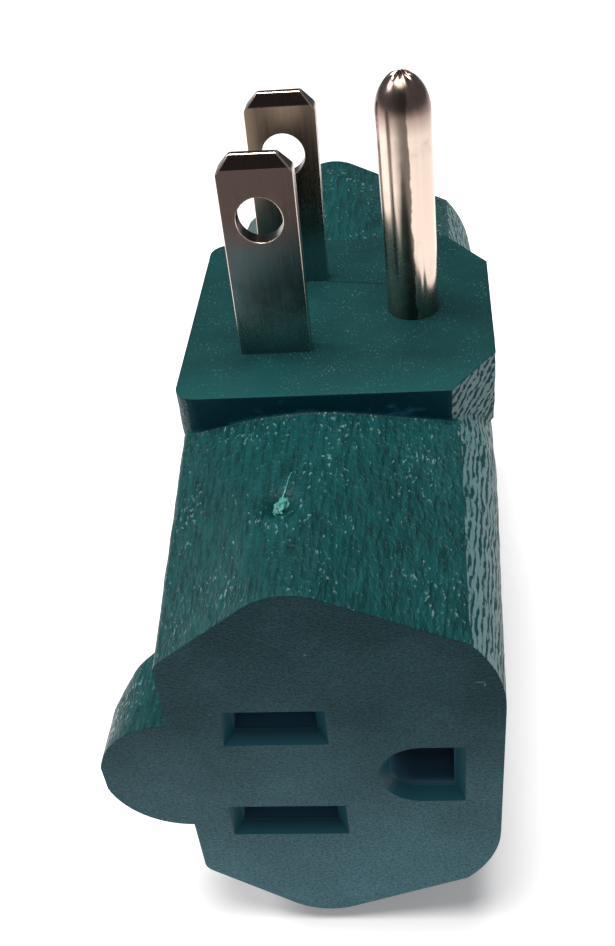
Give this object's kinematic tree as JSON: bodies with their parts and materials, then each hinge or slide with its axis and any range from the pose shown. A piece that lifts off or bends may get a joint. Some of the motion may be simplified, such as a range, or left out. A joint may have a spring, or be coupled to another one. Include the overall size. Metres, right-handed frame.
{
  "type": "three-outlet wall tap",
  "caption": "Grounded wall tap: a soft moulded T-shaped body with plug prongs on one side, an outlet at each arm's end and an outlet opposite the plug.",
  "frame": {"origin": "on the face of the outlet opposite the plug, midway between its two blade slots, which lie under the plug's blades", "axes": "+Z from that outlet up to the plug and along its prongs, +X from the blades towards the ground pin, Y along the two side arms"},
  "size_m": [0.0344, 0.074, 0.0671],
  "materials": {
    "jacket": "soft moulded plastic with a leather grain",
    "prong": "bright nickel plate",
    "core": "hard moulded plastic",
    "contact": "bare spring brass"
  },
  "bodies": {
    "root": {"body": "jacket", "hot_blade": "prong", "neutral_blade": "prong", "ground_pin": "prong", "plug_bridge": "core", "near_carrier": "core", "far_carrier": "core", "front_carrier": "core", "near_cap": "core", "far_cap": "core", "front_cap": "core", "near_hot_contact": "contact", "near_neutral_contact": "contact", "near_ground_contact": "contact", "far_hot_contact": "contact", "far_neutral_contact": "contact", "far_ground_contact": "contact", "front_hot_contact": "contact", "front_neutral_contact": "contact", "front_ground_contact": "contact", "hot_bus": "contact", "neutral_bus": "contact", "ground_bus": "contact", "blade_rivets": "contact"}
  },
  "joints": []
}
